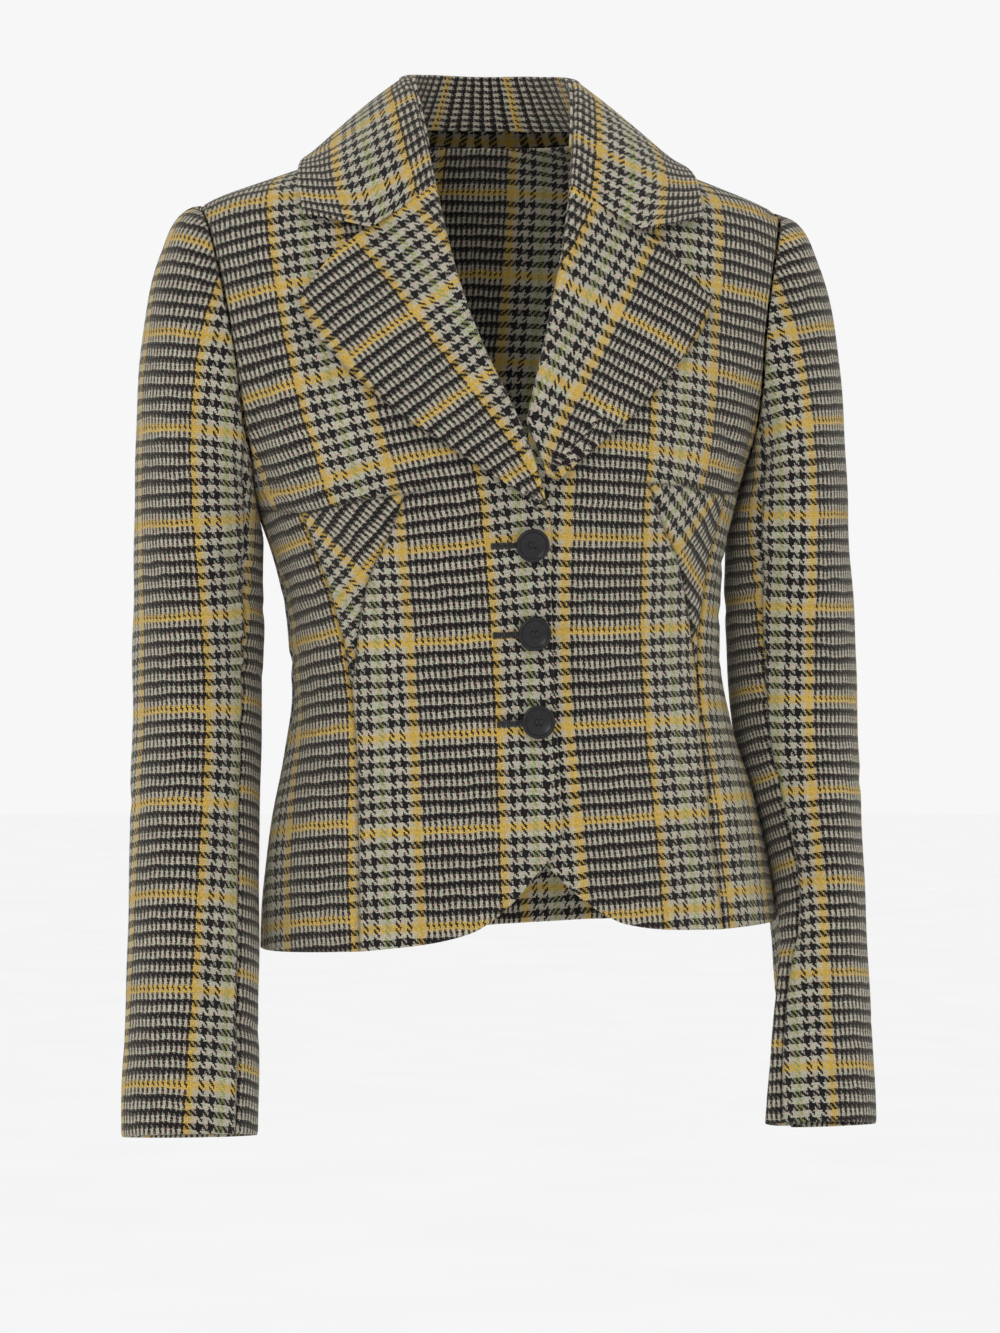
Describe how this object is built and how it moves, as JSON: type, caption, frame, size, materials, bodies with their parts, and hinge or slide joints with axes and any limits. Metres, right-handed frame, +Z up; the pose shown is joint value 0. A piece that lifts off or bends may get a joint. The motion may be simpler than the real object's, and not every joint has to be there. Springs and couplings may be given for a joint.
{
  "type": "tweed hacking jacket",
  "caption": "Fitted, cropped tweed hacking jacket as worn: hollow body with under-bust seams and cutaway hem, wide notched lapels, buttoned front and long two-piece sleeves.",
  "frame": {"origin": "middle of the neck base, between the inner ends of the shoulder seams, where the wearer's neck and shoulders hold the jacket up", "axes": "+Z up, -Y the way the jacket faces, +X towards the wearer's left"},
  "size_m": [0.5075, 0.234, 0.7202],
  "materials": {
    "tweed": "woollen twill woven in a black and cream glen check with yellow and sage overcheck lines, matt and slightly hairy",
    "button": "satin black",
    "thread": "black buttonhole twist, slightly lustrous"
  },
  "bodies": {
    "root": {"front_right": "tweed", "gore_right": "tweed", "side_front_right": "tweed", "side_back_right": "tweed", "back_right": "tweed", "lapel_right": "tweed", "sleeve_top_right": "tweed", "sleeve_under_right": "tweed", "front_left": "tweed", "gore_left": "tweed", "side_front_left": "tweed", "side_back_left": "tweed", "back_left": "tweed", "lapel_left": "tweed", "sleeve_top_left": "tweed", "sleeve_under_left": "tweed", "collar": "tweed", "collar_stand": "tweed", "button_1": "button", "buttonhole_1": "thread", "button_2": "button", "buttonhole_2": "thread", "button_3": "button", "buttonhole_3": "thread"}
  },
  "joints": []
}
